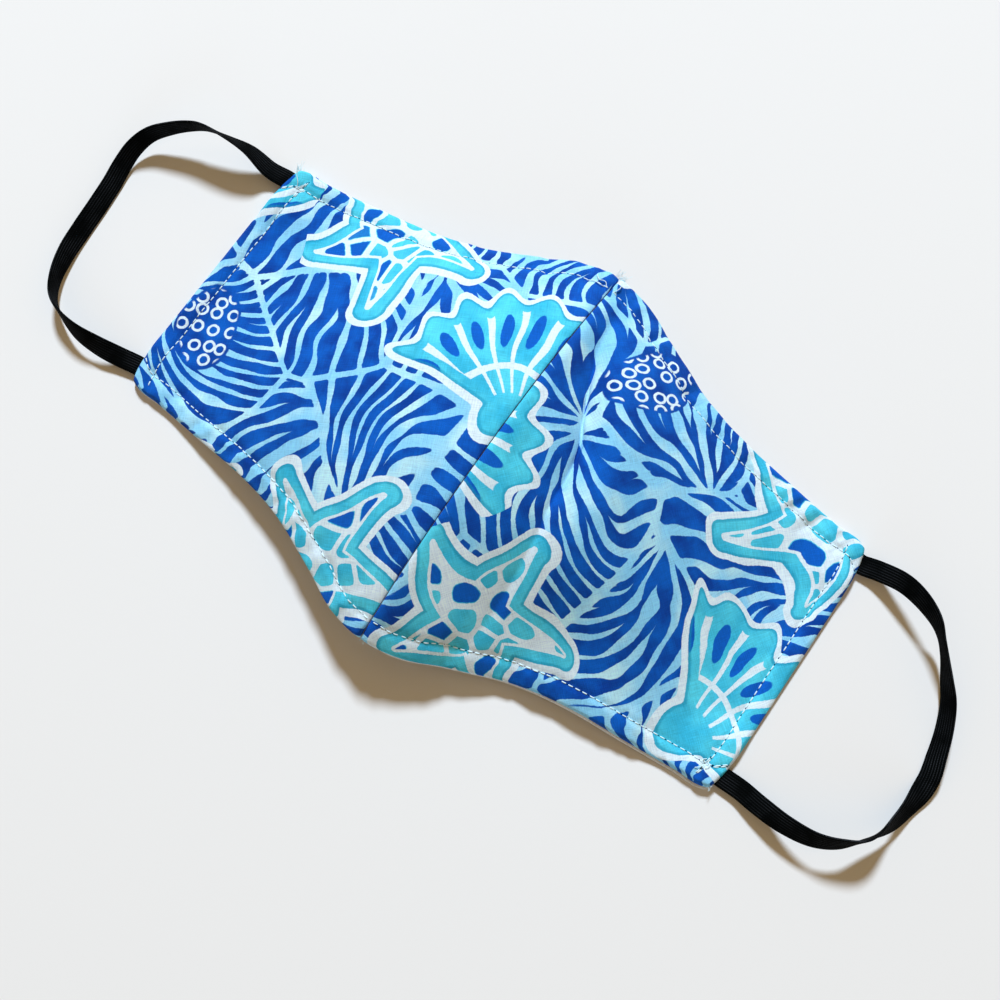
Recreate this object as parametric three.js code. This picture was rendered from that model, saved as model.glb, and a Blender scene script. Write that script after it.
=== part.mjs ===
// Contoured two-panel cloth face mask, lying on its ear-side edges with the outer cloth up.
// Millimetres. X runs from ear to ear, Y from the chin to the nose, Z up.
import * as THREE from "three";

// Driving dimensions
const maskWidth = 222.8;         // from one ear-side edge to the other, where they bulge most
const sideLength = 88;           // length of an ear-side edge, corner to corner
const seamChord = 135;           // nose end to chin end of the centre seam, straight across
const seamCrown = 32;            // height of the inner face under the middle of the seam
const seamEndHeight = 13;        // height of the inner face at the seam's nose and chin ends
const crownFullness = 2.2;       // how long the seam stays high before it falls to its ends
const restStrip = 10;            // flat strip along each ear-side edge that lies on the surface
const sideBulge = 2.4;           // how far a side edge bulges beyond its two corners
const sideBulgeFullness = 8;     // how long the bulge lasts before it turns into the corners
const liningThickness = 1;       // plain lining cloth
const outerThickness = 1;        // printed outer cloth
const clothClearance = 0.3;      // air between pieces that are sewn together
const elasticWidth = 6.35;       // quarter-inch braided elastic
const elasticThickness = 1;
const elasticSewnDepth = 5;      // length of elastic caught between the two cloths
const elasticInset = 4.9;        // middle of the elastic to the panel's corner, along the side
const loopReach = 48;            // how far a loop stands out from the side edge, to its middle
const loopRise = 8;              // highest lift of a loop above where it would lie flat
const foldDepth = 6.4;           // deepest point of the soft fold beside the seam
const foldBreadth = 6;           // half the breadth of that fold at half its depth
const ridgeHeight = 1.8;         // swell of the cloth on the fold's far side
const ridgeBreadth = 9;          // half the breadth of that swell
const hollowDepth = 7;           // how far the right panel sinks on the chin side of the seam
const hollowOut = 37;            // from the seam to the deepest line of that hollow
const hollowBreadth = 23;        // how soon the cloth rises again to each side of that line
const hollowStart = 6;           // from the middle of the seam to where the hollow starts
const hollowFull = 44;           // from the middle of the seam to where it is at its deepest

// Grid of each panel: columns run from the side edge to the seam, rows from chin to nose
const stripColumns = 2;
const domeColumns = 21;
const panelRows = 20;
const seamCrowding = 1.25;       // above 1 draws the columns together near the seam
const strapSections = 58;
const slopeStep = 0.5;           // the surface's slope is measured this far to each side

// Derived sizes
const halfWidth = maskWidth / 2;
const halfSide = sideLength / 2;
const halfSeam = seamChord / 2;
const domeHalfWidth = halfWidth - restStrip;
const elasticRow = halfSide - elasticInset;
const elasticSeat = liningThickness + clothClearance;
const sandwichLift = elasticThickness + clothClearance;

// Upper and lower outline, the same for both panels. out: share of the half width from the seam.
// flare: share of the way from the side edge's half length to the seam's half length.
const outline = [
  { out: 0.00, flare: 1.000 },
  { out: 0.07, flare: 0.965 },
  { out: 0.13, flare: 0.877 },
  { out: 0.20, flare: 0.712 },
  { out: 0.27, flare: 0.570 },
  { out: 0.36, flare: 0.395 },
  { out: 0.45, flare: 0.278 },
  { out: 0.54, flare: 0.205 },
  { out: 0.72, flare: 0.128 },
  { out: 0.88, flare: 0.056 },
  { out: 0.97, flare: 0.014 },
  { out: 1.00, flare: -0.070 },
];

// Rise of each panel from its resting strip to the seam. climb: share of the way to the seam.
// left, right: share of the seam's height there.
const rise = [
  { climb: 0.00, left: 0.00, right: 0.00 },
  { climb: 0.10, left: 0.06, right: 0.05 },
  { climb: 0.25, left: 0.25, right: 0.23 },
  { climb: 0.40, left: 0.46, right: 0.44 },
  { climb: 0.55, left: 0.65, right: 0.65 },
  { climb: 0.70, left: 0.82, right: 0.83 },
  { climb: 0.85, left: 0.94, right: 0.93 },
  { climb: 1.00, left: 1.00, right: 1.00 },
];

// Soft fold of the right panel, from chin to nose. up: share of the seam's half length.
// out: share of the half width where the fold's floor runs. depth: share of the fold's depth.
const fold = [
  { up: -0.95, out: 0.190, depth: 0.00 },
  { up: -0.70, out: 0.235, depth: 0.16 },
  { up: -0.45, out: 0.240, depth: 0.34 },
  { up: -0.25, out: 0.230, depth: 0.48 },
  { up: -0.05, out: 0.211, depth: 0.64 },
  { up: 0.08, out: 0.206, depth: 0.80 },
  { up: 0.22, out: 0.185, depth: 0.97 },
  { up: 0.32, out: 0.153, depth: 1.00 },
  { up: 0.44, out: 0.120, depth: 0.92 },
  { up: 0.54, out: 0.094, depth: 0.72 },
  { up: 0.67, out: 0.068, depth: 0.46 },
  { up: 0.79, out: 0.056, depth: 0.26 },
  { up: 1.00, out: 0.050, depth: 0.00 },
];
const ridgeOffset = 0.10;        // from the fold's floor to the crest of its swell, as out
const foldEndClimb = 0.50;       // the swell has died out this share of the way up the panel

// Routes of the two elastics from the nose-side root to the chin-side root. reach: share of the
// loop's reach beyond the side edge. side: share of the roots' half spacing. lift: share of the
// loop's rise above lying. turn: degrees that the flat of the elastic is turned over.
const leftRoute = [
  { reach: 0.12, side: 0.98, lift: 0.24, turn: 12 },
  { reach: 0.27, side: 0.98, lift: 0.70, turn: 38 },
  { reach: 0.42, side: 0.95, lift: 0.92, turn: 60 },
  { reach: 0.58, side: 0.91, lift: 0.98, turn: 80 },
  { reach: 0.68, side: 0.86, lift: 0.86, turn: 90 },
  { reach: 0.80, side: 0.76, lift: 0.64, turn: 98 },
  { reach: 0.91, side: 0.63, lift: 0.38, turn: 108 },
  { reach: 0.96, side: 0.47, lift: 0.18, turn: 122 },
  { reach: 0.96, side: 0.29, lift: 0.06, turn: 132 },
  { reach: 0.94, side: 0.11, lift: 0.00, turn: 138 },
  { reach: 0.92, side: -0.11, lift: 0.00, turn: 140 },
  { reach: 0.90, side: -0.35, lift: 0.00, turn: 138 },
  { reach: 0.87, side: -0.57, lift: 0.05, turn: 126 },
  { reach: 0.81, side: -0.79, lift: 0.14, turn: 106 },
  { reach: 0.72, side: -0.95, lift: 0.24, turn: 94 },
  { reach: 0.59, side: -1.03, lift: 0.34, turn: 80 },
  { reach: 0.43, side: -1.07, lift: 0.40, turn: 58 },
  { reach: 0.26, side: -1.06, lift: 0.34, turn: 34 },
  { reach: 0.12, side: -1.03, lift: 0.20, turn: 14 },
];
const rightRoute = [
  { reach: 0.10, side: 1.02, lift: 0.30, turn: 16 },
  { reach: 0.24, side: 1.02, lift: 0.70, turn: 34 },
  { reach: 0.37, side: 0.98, lift: 0.90, turn: 50 },
  { reach: 0.50, side: 0.91, lift: 0.92, turn: 70 },
  { reach: 0.61, side: 0.82, lift: 0.72, turn: 92 },
  { reach: 0.70, side: 0.72, lift: 0.50, turn: 90 },
  { reach: 0.79, side: 0.59, lift: 0.32, turn: 76 },
  { reach: 0.88, side: 0.45, lift: 0.18, turn: 64 },
  { reach: 0.95, side: 0.27, lift: 0.06, turn: 54 },
  { reach: 1.00, side: 0.07, lift: 0.00, turn: 42 },
  { reach: 1.04, side: -0.14, lift: 0.00, turn: 16 },
  { reach: 1.02, side: -0.36, lift: 0.06, turn: -30 },
  { reach: 0.97, side: -0.57, lift: 0.32, turn: -50 },
  { reach: 0.88, side: -0.77, lift: 0.66, turn: -86 },
  { reach: 0.76, side: -0.91, lift: 0.80, turn: -62 },
  { reach: 0.61, side: -1.00, lift: 0.78, turn: -46 },
  { reach: 0.43, side: -1.03, lift: 0.64, turn: -30 },
  { reach: 0.26, side: -1.02, lift: 0.40, turn: -14 },
  { reach: 0.12, side: -1.00, lift: 0.20, turn: -6 },
];

const { clamp, lerp, smoothstep, degToRad } = THREE.MathUtils;

// A smooth curve through one column of a table, read at any place along another column
function smoothColumn(table, along, column) {
  const places = table.map((row) => row[along]);
  const curve = new THREE.CubicInterpolant(places, table.map((row) => row[column]), 1);
  return (place) => curve.evaluate(clamp(place, places[0], places[places.length - 1]))[0];
}

const flareAt = smoothColumn(outline, "out", "flare");
const foldOutAt = smoothColumn(fold, "up", "out");
const foldDepthAt = smoothColumn(fold, "up", "depth");
const halfHeightAt = (out) => lerp(halfSide, halfSeam, flareAt(out / halfWidth));

// Height of the inner face under the seam, from the chin end (up -1) to the nose end (up 1)
const seamHeightAt = (up) => lerp(seamCrown, seamEndHeight, Math.abs(up) ** crownFullness);

// The fold's floor and the swell beside it, as a change in height
function foldHeight(out, y) {
  const up = y / halfSeam;
  const floor = foldOutAt(up) * halfWidth;
  const crest = floor + ridgeOffset * halfWidth;
  const dip = foldDepth / (1 + ((out - floor) / foldBreadth) ** 2);
  const swell = ridgeHeight / (1 + ((out - crest) / ridgeBreadth) ** 2);
  return foldDepthAt(up) * (swell - dip);
}

// The broad hollow beside the seam on the chin side, as a change in height
function hollowHeight(out, y) {
  const aside = (out - hollowOut) / hollowBreadth;
  return -hollowDepth * smoothstep(-y, hollowStart, hollowFull) * Math.exp(-(aside ** 2));
}

const leftPanel = { name: "left", side: -1, riseAt: smoothColumn(rise, "climb", "left"), folded: false };
const rightPanel = { name: "right", side: 1, riseAt: smoothColumn(rise, "climb", "right"), folded: true };

// Height of the inner face at a place on the panel, which is zero on the resting strip
function innerHeight(panel, out, y) {
  const climb = clamp((domeHalfWidth - out) / domeHalfWidth, 0, 1);
  const up = clamp(y / halfHeightAt(out), -1, 1);
  const dome = seamHeightAt(up) * panel.riseAt(climb);
  if (!panel.folded) {
    return dome;
  }
  const awayFromSeam = smoothstep(out, 0, foldBreadth);
  const awayFromStrip = smoothstep(climb, 0, foldEndClimb);
  return dome + (foldHeight(out, y) + hollowHeight(out, y)) * awayFromSeam * awayFromStrip;
}

// How far the outer cloth is lifted where it covers a sewn end of the elastic
function liftOverElastic(out, y) {
  const fade = restStrip;
  const inward = halfWidth - out - elasticSewnDepth - restStrip / stripColumns;
  const aside = Math.abs(Math.abs(y) - elasticRow) - elasticWidth / 2 - sideLength / panelRows;
  return sandwichLift * (1 - smoothstep(inward, 0, fade)) * (1 - smoothstep(aside, 0, fade));
}

// A point of a panel at a distance above its inner face. Beside the seam the offset leans
// neither way, so all cloths of a panel end on one upright plane there.
function panelPoint(panel, column, row, distance, overElastic) {
  const up = lerp(-1, 1, row / panelRows);
  const edge = halfWidth - sideBulge * Math.abs(up) ** sideBulgeFullness;
  const inStrip = column <= stripColumns;
  const toSeam = (1 - (column - stripColumns) / domeColumns) ** seamCrowding;
  const out = inStrip
    ? lerp(edge, domeHalfWidth, column / stripColumns)
    : lerp(clothClearance / 2, domeHalfWidth, toSeam);
  const y = up * halfHeightAt(out);
  const riseX = innerHeight(panel, out + slopeStep, y) - innerHeight(panel, out - slopeStep, y);
  const riseY = innerHeight(panel, out, y + slopeStep) - innerHeight(panel, out, y - slopeStep);
  const normal = new THREE.Vector3(-riseX, -riseY, 2 * slopeStep).normalize();
  const direction = normal.clone();
  direction.x *= smoothstep(out, clothClearance, foldBreadth * 2);
  const height = distance + (overElastic ? liftOverElastic(out, y) : 0);
  direction.multiplyScalar(height / direction.dot(normal));
  const point = new THREE.Vector3(out, y, innerHeight(panel, out, y)).add(direction);
  point.x *= panel.side;
  return point;
}

// A closed body between two grids of points of the same size
function solidBetween(lower, upper) {
  const rows = lower.length;
  const columns = lower[0].length;
  const grids = [lower, upper];
  const positions = grids.flat(2).flatMap((point) => point.toArray());
  const index = (layer, r, c) => layer * rows * columns + r * columns + c;
  const triangles = [];
  const quad = (a, b, c, d) => triangles.push(a, b, c, a, c, d);
  for (let r = 0; r < rows - 1; r += 1) {
    for (let c = 0; c < columns - 1; c += 1) {
      quad(index(1, r, c), index(1, r, c + 1), index(1, r + 1, c + 1), index(1, r + 1, c));
      quad(index(0, r, c), index(0, r + 1, c), index(0, r + 1, c + 1), index(0, r, c + 1));
    }
    quad(index(0, r, 0), index(1, r, 0), index(1, r + 1, 0), index(0, r + 1, 0));
    const last = columns - 1;
    quad(index(0, r, last), index(0, r + 1, last), index(1, r + 1, last), index(1, r, last));
  }
  for (let c = 0; c < columns - 1; c += 1) {
    const last = rows - 1;
    quad(index(0, 0, c), index(0, 0, c + 1), index(1, 0, c + 1), index(1, 0, c));
    quad(index(0, last, c), index(1, last, c), index(1, last, c + 1), index(0, last, c + 1));
  }
  const geometry = new THREE.BufferGeometry();
  geometry.setAttribute("position", new THREE.Float32BufferAttribute(positions, 3));
  geometry.setIndex(triangles);
  geometry.computeVertexNormals();
  return geometry;
}

// One ply of a panel, from a distance above the inner face up through its thickness
function clothPly(panel, distance, thickness, overElastic) {
  const columns = stripColumns + domeColumns;
  const grid = (height) => Array.from({ length: panelRows + 1 }, (_, row) => {
    const line = Array.from({ length: columns + 1 }, (__, column) =>
      panelPoint(panel, column, row, height, overElastic));
    return panel.side < 0 ? line : line.reverse();
  });
  return solidBetween(grid(distance), grid(distance + thickness));
}

// Height of the elastic's middle when it lies on the surface, turned over by an angle
function lyingHeight(turn) {
  return elasticWidth / 2 * Math.abs(Math.sin(turn)) + elasticThickness / 2 * Math.abs(Math.cos(turn));
}

// An elastic's middle line, with the turn of its flat, from one sewn end to the other
function loopStations(panel, route) {
  const station = (beyondEdge, y, z, turn) => ({
    point: new THREE.Vector3(panel.side * (halfWidth + beyondEdge), y, z),
    turn,
  });
  const seatHeight = elasticSeat + elasticThickness / 2;
  const sewn = (sign, beyondEdge) => station(beyondEdge, sign * elasticRow, seatHeight, 0);
  const free = route.map((row) => {
    const turn = degToRad(row.turn);
    return station(row.reach * loopReach, row.side * elasticRow, lyingHeight(turn) + row.lift * loopRise, turn);
  });
  return [
    sewn(1, -elasticSewnDepth), sewn(1, -elasticSewnDepth / 2), sewn(1, 0),
    ...free,
    sewn(-1, 0), sewn(-1, -elasticSewnDepth / 2), sewn(-1, -elasticSewnDepth),
  ];
}

// A flat elastic swept along its stations
function elasticStrap(panel, route) {
  const stations = loopStations(panel, route);
  const path = new THREE.CatmullRomCurve3(stations.map((station) => station.point), false, "centripetal");
  const turns = new THREE.CubicInterpolant(stations.map((_, i) => i), stations.map((s) => s.turn), 1);
  const lower = [];
  const upper = [];
  for (let section = 0; section <= strapSections; section += 1) {
    const place = section / strapSections;
    const centre = path.getPoint(place);
    const along = path.getTangent(place);
    const turn = turns.evaluate(place * (stations.length - 1))[0];
    centre.z = Math.max(centre.z, lyingHeight(turn));
    const flat = new THREE.Vector3(0, 0, 1).cross(along).normalize();
    const across = flat.applyAxisAngle(along, turn).multiplyScalar(elasticWidth / 2);
    const through = along.clone().cross(across).setLength(elasticThickness / 2);
    lower.push([centre.clone().sub(across).sub(through), centre.clone().add(across).sub(through)]);
    upper.push([centre.clone().sub(across).add(through), centre.clone().add(across).add(through)]);
  }
  return solidBetween(lower.map((pair) => pair.reverse()), upper.map((pair) => pair.reverse()));
}

const printedCotton = new THREE.MeshStandardMaterial({ color: 0x1458c8, roughness: 0.85, metalness: 0 });
const whiteCotton = new THREE.MeshStandardMaterial({ color: 0xf0f1f2, roughness: 0.9, metalness: 0 });
const blackElastic = new THREE.MeshStandardMaterial({ color: 0x111114, roughness: 0.65, metalness: 0 });

const mask = new THREE.Group();

function addPiece(name, geometry, material) {
  const piece = new THREE.Mesh(geometry, material);
  piece.name = name;
  mask.add(piece);
}

for (const panel of [leftPanel, rightPanel]) {
  const outerStart = liningThickness + clothClearance;
  addPiece(`lining_${panel.name}`, clothPly(panel, 0, liningThickness, false), whiteCotton);
  addPiece(`outer_${panel.name}`, clothPly(panel, outerStart, outerThickness, true), printedCotton);
}
addPiece("ear_loop_left", elasticStrap(leftPanel, leftRoute), blackElastic);
addPiece("ear_loop_right", elasticStrap(rightPanel, rightRoute), blackElastic);

// The mask stands with the middle of its footprint at the origin
const footprint = new THREE.Box3().setFromObject(mask);
const middle = footprint.getCenter(new THREE.Vector3());
mask.position.set(-middle.x, -middle.y, -footprint.min.z);
mask.updateMatrixWorld(true);

export default mask;
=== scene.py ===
import math

import bpy
import numpy as np
from mathutils import Matrix, Vector


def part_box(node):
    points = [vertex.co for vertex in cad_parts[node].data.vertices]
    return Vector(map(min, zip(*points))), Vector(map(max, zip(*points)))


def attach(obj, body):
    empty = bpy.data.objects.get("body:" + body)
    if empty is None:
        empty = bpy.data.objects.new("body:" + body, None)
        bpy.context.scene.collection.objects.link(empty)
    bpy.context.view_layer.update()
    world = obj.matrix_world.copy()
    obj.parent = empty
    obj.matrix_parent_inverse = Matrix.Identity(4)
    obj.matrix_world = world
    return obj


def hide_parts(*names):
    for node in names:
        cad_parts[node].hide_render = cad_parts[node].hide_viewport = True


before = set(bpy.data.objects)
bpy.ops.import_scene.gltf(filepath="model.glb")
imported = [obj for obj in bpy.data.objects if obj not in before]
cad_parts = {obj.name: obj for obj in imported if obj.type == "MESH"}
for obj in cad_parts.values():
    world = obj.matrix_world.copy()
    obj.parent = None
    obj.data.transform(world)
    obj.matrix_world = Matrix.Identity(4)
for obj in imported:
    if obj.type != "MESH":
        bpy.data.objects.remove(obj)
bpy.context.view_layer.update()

# The view
# The mask lies a third of a turn from level in the picture, seen almost from above by a
# camera that leans a little towards the chin side.
mm = 0.001
picture_turn = math.radians(35.17)
camera_lean = math.radians(11.4)
camera_distance = 375 * mm
lens = 43.2
film_width = 36
nearest_seen = 10 * mm
picture_middle = Vector((8.07, -8.12, 0)) * mm
seam_x = (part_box("outer_left")[1].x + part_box("outer_right")[0].x) / 2
picture_right = Vector((math.cos(picture_turn), math.sin(picture_turn), 0))
picture_up = Vector((-math.sin(picture_turn), math.cos(picture_turn), 0))
looked_at = picture_middle + Vector((seam_x, 0, 0))
towards_camera = Vector((0, 0, math.cos(camera_lean))) - picture_up * math.sin(camera_lean)

camera = bpy.data.objects.new("camera", bpy.data.cameras.new("camera"))
camera.data.lens = lens
camera.data.sensor_width = film_width
camera.data.clip_start = nearest_seen
bpy.context.scene.collection.objects.link(camera)
axes = Matrix((picture_right, towards_camera.cross(picture_right), towards_camera)).transposed()
camera.matrix_world = Matrix.Translation(looked_at + towards_camera * camera_distance) @ axes.to_4x4()
bpy.context.scene.camera = camera

# The light
# One soft window light stands beyond the nose side, a little over forty degrees high. A weak,
# cool one lies low beyond the chin side, and the room fills the shadows with a warmer light.
window_distance = 5.0
window_height = math.radians(43)
window_size = 0.8
window_power = 362
daylight = (0.73, 0.87, 1.0)
low_window_height = math.radians(16)
low_window_size = 2.5
low_window_power = 34
sky_light = (0.42, 0.72, 1.0)
room_colour = (1.0, 0.68, 0.30, 1)
room_brightness = 0.33


def add_window(name, flat_way, height, size, power, colour):
    """A round soft light, as far off as the window and turned to the mask."""
    way = flat_way * math.cos(height) + Vector((0, 0, math.sin(height)))
    window = bpy.data.objects.new(name, bpy.data.lights.new(name, "AREA"))
    window.data.shape = "DISK"
    window.data.size = size
    window.data.energy = power
    window.data.color = colour
    window.location = way * window_distance
    window.rotation_euler = way.to_track_quat("Z", "Y").to_euler()
    bpy.context.scene.collection.objects.link(window)


add_window("window", picture_up, window_height, window_size, window_power, daylight)
add_window("low_window", -picture_up, low_window_height, low_window_size,
           low_window_power, sky_light)

room = bpy.data.worlds.new("room")
room.use_nodes = True
room.node_tree.nodes["Background"].inputs["Color"].default_value = room_colour
room.node_tree.nodes["Background"].inputs["Strength"].default_value = room_brightness
bpy.context.scene.world = room
bpy.context.scene.view_settings.view_transform = "Standard"

# The table
# A plain, pale and matt table top that the mask lies on. It is much wider than the picture,
# so no edge of it shows, and it belongs to the scene and not to the part.
class Wire:
    """A socket of a material's nodes, so that what a shader works out is written as a sum."""

    def __init__(self, tree, socket=None):
        self.tree = tree
        self.socket = socket

    def node(self, kind, settings=None, inputs=None, output=0):
        made = self.tree.nodes.new(kind)
        for name, value in (settings or {}).items():
            setattr(made, name, value)
        for name, value in (inputs or {}).items():
            if isinstance(value, Wire):
                self.tree.links.new(value.socket, made.inputs[name])
            else:
                made.inputs[name].default_value = value
        return Wire(self.tree, made.outputs[output])

    def math(self, operation, *values):
        return self.node("ShaderNodeMath", {"operation": operation}, dict(enumerate(values)))

    def __add__(self, other):
        return self.math("ADD", self, other)

    def __radd__(self, other):
        return self.math("ADD", other, self)

    def __sub__(self, other):
        return self.math("SUBTRACT", self, other)

    def __rsub__(self, other):
        return self.math("SUBTRACT", other, self)

    def __mul__(self, other):
        return self.math("MULTIPLY", self, other)

    def __rmul__(self, other):
        return self.math("MULTIPLY", other, self)

    def __truediv__(self, other):
        return self.math("DIVIDE", self, other)

    def __pow__(self, other):
        return self.math("POWER", self, other)

    def __abs__(self):
        return self.math("ABSOLUTE", self)

    def above(self, edge, softness):
        """One where the value is above an edge, zero below it, with a soft step between."""
        inputs = {"Value": self, "From Min": edge - softness, "From Max": edge + softness}
        return self.node("ShaderNodeMapRange", {"interpolation_type": "SMOOTHSTEP"}, inputs)

    def below(self, edge, softness):
        return 1 - self.above(edge, softness)

    def noise(self, vector, size, detail):
        inputs = {"Vector": vector, "Scale": 1 / size, "Detail": detail}
        return self.node("ShaderNodeTexNoise", {"noise_dimensions": "3D"}, inputs)

    def mix(self, share, first, second):
        inputs = {0: share, 6: first, 7: second}
        return self.node("ShaderNodeMix", {"data_type": "RGBA"}, inputs, 2)


def new_material(name, roughness, sheen=0.0):
    """A material with its nodes, and a wire to start sums from."""
    material = bpy.data.materials.new(name)
    material.use_nodes = True
    shader = material.node_tree.nodes["Principled BSDF"]
    shader.inputs["Roughness"].default_value = roughness
    shader.inputs["Sheen Weight"].default_value = sheen
    shader.inputs["Specular IOR Level"].default_value = 0.12
    return material, shader, Wire(material.node_tree)


def plain_material(name, colour, roughness):
    material, shader, wire = new_material(name, roughness)
    shader.inputs["Base Color"].default_value = colour
    return material


table_colour = (0.80, 0.78, 0.775, 1)
table_material = plain_material("table", table_colour, 0.9)
table_size = 4.0
corners = [(-1, -1), (1, -1), (1, 1), (-1, 1)]
table_mesh = bpy.data.meshes.new("table")
table_mesh.from_pydata([(x * table_size, y * table_size, 0) for x, y in corners], [], [(0, 1, 2, 3)])
table_mesh.materials.append(table_material)
table = bpy.data.objects.new("table", table_mesh)
bpy.context.scene.collection.objects.link(table)

# The outer panels
# Two panels of cotton, printed before they were cut, are sewn together on the curved centre
# seam. Their other edges are turned in against the lining, which leaves a rolled edge.
half_width = (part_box("lining_right")[1].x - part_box("lining_left")[0].x) / 2
half_seam = 67.5 * mm
half_side = 44 * mm
seam_crown = 32 * mm
seam_end_height = 13 * mm
crown_fullness = 2.2
rest_strip = 10 * mm
dome_half_width = half_width - rest_strip
side_bulge = 2.4 * mm
side_bulge_fullness = 8
lining_thickness = 1.0 * mm
outer_thickness = 1.0 * mm
cloth_clearance = 0.3 * mm
elastic_width = 6.35 * mm
elastic_thickness = 1.0 * mm
elastic_sewn_depth = 5 * mm
elastic_inset = 4.9 * mm
elastic_row = half_side - elastic_inset
lift_margin = 4.4 * mm
fold_depth = 6.4 * mm
fold_breadth = 6 * mm
ridge_height = 1.8 * mm
ridge_breadth = 9 * mm
ridge_offset = 0.10
fold_end_climb = 0.50
hollow_depth = 7 * mm
hollow_out = 37 * mm
hollow_breadth = 23 * mm
hollow_start = 6 * mm
hollow_full = 44 * mm
hem_stitch_in = 6.4 * mm
side_stitch_in = 6.0 * mm
edge_roll = 1.5 * mm
seam_roll = 1.1 * mm
inner_to_outer = lining_thickness + cloth_clearance
outer_face = inner_to_outer + outer_thickness

# Outline: share of the half width, share of the way from the side's half length to the seam's
outline = [
    (0.00, 1.000), (0.07, 0.965), (0.13, 0.877), (0.20, 0.712), (0.27, 0.570), (0.36, 0.395),
    (0.45, 0.278), (0.54, 0.205), (0.72, 0.128), (0.88, 0.056), (0.97, 0.014), (1.00, -0.070),
]
# Rise: share of the way from the resting strip to the seam, share of the seam's height
rise = {
    "left": [(0.00, 0.00), (0.10, 0.06), (0.25, 0.25), (0.40, 0.46), (0.55, 0.65), (0.70, 0.82),
             (0.85, 0.94), (1.00, 1.00)],
    "right": [(0.00, 0.00), (0.10, 0.05), (0.25, 0.23), (0.40, 0.44), (0.55, 0.65), (0.70, 0.83),
              (0.85, 0.93), (1.00, 1.00)],
}
# Fold of the right panel: share of the seam's half length, floor as a share of the half
# width, share of the fold's depth
fold = [
    (-0.95, 0.190, 0.00), (-0.70, 0.235, 0.16), (-0.45, 0.240, 0.34), (-0.25, 0.230, 0.48),
    (-0.05, 0.211, 0.64), (0.08, 0.206, 0.80), (0.22, 0.185, 0.97), (0.32, 0.153, 1.00),
    (0.44, 0.120, 0.92), (0.54, 0.094, 0.72), (0.67, 0.068, 0.46), (0.79, 0.056, 0.26),
    (1.00, 0.050, 0.00),
]


def smooth_column(rows, place, column=1):
    """Reads a table's column at any place along its first column, on a smooth curve."""
    at = np.array([row[0] for row in rows])
    value = np.array([row[column] for row in rows])
    slope = np.gradient(value, at)
    place = np.clip(place, at[0], at[-1])
    i = np.clip(np.searchsorted(at, place, side="right") - 1, 0, len(at) - 2)
    gap = at[i + 1] - at[i]
    t = (place - at[i]) / gap
    return ((2 * t**3 - 3 * t**2 + 1) * value[i] + (t**3 - 2 * t**2 + t) * gap * slope[i]
            + (3 * t**2 - 2 * t**3) * value[i + 1] + (t**3 - t**2) * gap * slope[i + 1])


def step(value, low, high):
    """Zero below low, one above high, smooth between."""
    t = np.clip((value - low) / (high - low), 0, 1)
    return t * t * (3 - 2 * t)


def bell(value, breadth):
    return np.exp(-((value / breadth) ** 2))


def ripple(place, length, seed):
    """Smooth random waves of about one length, between -1 and 1."""
    heights = np.random.default_rng(seed).uniform(-1, 1, 512)
    cell = place / length + 200
    i = np.floor(cell).astype(int) % 511
    t = cell - np.floor(cell)
    t = t * t * (3 - 2 * t)
    return heights[i] * (1 - t) + heights[i + 1] * t


def crumple(x, y, size, seed):
    """Smooth random swells over an area, between -1 and 1."""
    heights = np.random.default_rng(seed).uniform(-1, 1, (128, 128))
    cx = x / size + 60
    cy = y / size + 60
    i = np.floor(cx).astype(int) % 127
    j = np.floor(cy).astype(int) % 127
    s = cx - np.floor(cx)
    t = cy - np.floor(cy)
    s = s * s * (3 - 2 * s)
    t = t * t * (3 - 2 * t)
    low = heights[i, j] * (1 - s) + heights[i + 1, j] * s
    high = heights[i, j + 1] * (1 - s) + heights[i + 1, j + 1] * s
    return low * (1 - t) + high * t


def half_height(out):
    return half_side + (half_seam - half_side) * smooth_column(outline, out / half_width)


def edge_cosine(out):
    """How much closer the slanting upper or lower edge is than it is straight up or down."""
    slope = (half_height(out + mm) - half_height(out - mm)) / (2 * mm)
    return 1 / np.sqrt(1 + slope**2)


def inner_height(panel, out, y):
    """Height of the inner face of a panel over the table, zero on the resting strip."""
    climb = np.clip((dome_half_width - out) / dome_half_width, 0, 1)
    up = np.clip(np.abs(y) / half_height(out), 0, 1)
    seam = seam_crown + (seam_end_height - seam_crown) * up**crown_fullness
    dome = seam * smooth_column(rise[panel], climb)
    if panel == "left":
        return dome
    depth = smooth_column(fold, y / half_seam, 2)
    floor = smooth_column(fold, y / half_seam, 1) * half_width
    crest = floor + ridge_offset * half_width
    dip = fold_depth / (1 + ((out - floor) / fold_breadth) ** 2)
    swell = ridge_height / (1 + ((out - crest) / ridge_breadth) ** 2)
    hollow = hollow_depth * step(-y, hollow_start, hollow_full) * bell(out - hollow_out, hollow_breadth)
    change = depth * (swell - dip) - hollow
    return dome + change * step(out, 0, fold_breadth) * step(climb, 0, fold_end_climb)


def lift_over_elastic(out, y):
    """How far the outer cloth is lifted where it covers a sewn end of the elastic."""
    inward = half_width - out - elastic_sewn_depth - rest_strip / 2
    aside = np.abs(np.abs(y) - elastic_row) - elastic_width / 2 - lift_margin
    lift = elastic_thickness + cloth_clearance
    return lift * (1 - step(inward, 0, rest_strip)) * (1 - step(aside, 0, rest_strip))


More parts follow.
